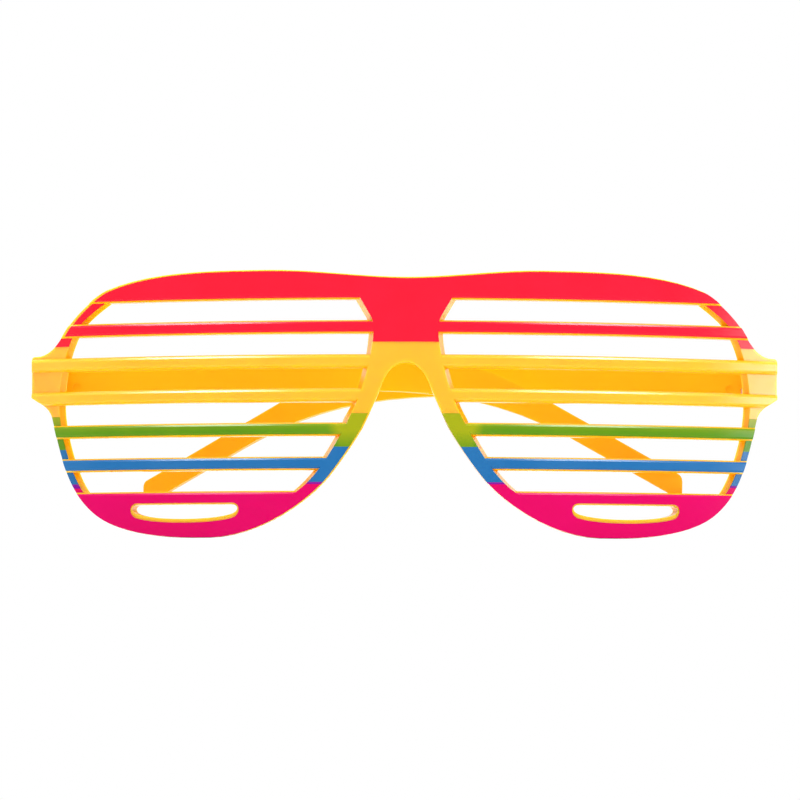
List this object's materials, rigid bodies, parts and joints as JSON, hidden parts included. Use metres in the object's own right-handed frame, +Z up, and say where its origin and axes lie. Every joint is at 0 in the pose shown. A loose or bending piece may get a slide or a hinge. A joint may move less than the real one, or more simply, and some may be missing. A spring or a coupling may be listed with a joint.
{
  "type": "party glasses",
  "caption": "Folded slatted party glasses: one wrapped plastic front crossed by slats, printed in bands of colour, and two arms on hinge pins.",
  "frame": {"origin": "crown of the nose notch, in the middle of the front and of its thickness there", "axes": "+X to the viewer's right along the front, +Y from the front towards the wearer, +Z up"},
  "size_m": [0.1496, 0.0502, 0.0527],
  "materials": {
    "front_plastic": "moulded gloss, yellow",
    "arm_plastic": "moulded gloss, yellow-orange",
    "pin_steel": "bright drawn wire",
    "red_ink": "glossy print",
    "green_ink": "glossy print",
    "blue_ink": "glossy print",
    "magenta_ink": "glossy print"
  },
  "bodies": {
    "front": {"front_frame": "front_plastic", "left_hinge_pin": "pin_steel", "right_hinge_pin": "pin_steel", "red_ink": "red_ink", "green_ink": "green_ink", "blue_ink": "blue_ink", "magenta_ink": "magenta_ink"},
    "left_arm": {"left_temple": "arm_plastic"},
    "right_arm": {"right_temple": "arm_plastic"}
  },
  "joints": [
    {"name": "right_hinge", "type": "hinge", "parent": "front", "child": "right_arm", "pos_m": [0.071, 0.0235, -0.0022], "axis": [0, 0, -1], "range_deg": [0, 84]},
    {"name": "left_hinge", "type": "hinge", "parent": "front", "child": "left_arm", "pos_m": [-0.071, 0.0235, -0.0022], "axis": [0, 0, 1], "range_deg": [0, 99.5]}
  ],
  "couplings": [
    {"joint": "left_hinge", "follows": "right_hinge", "ratio": 0.95}
  ]
}
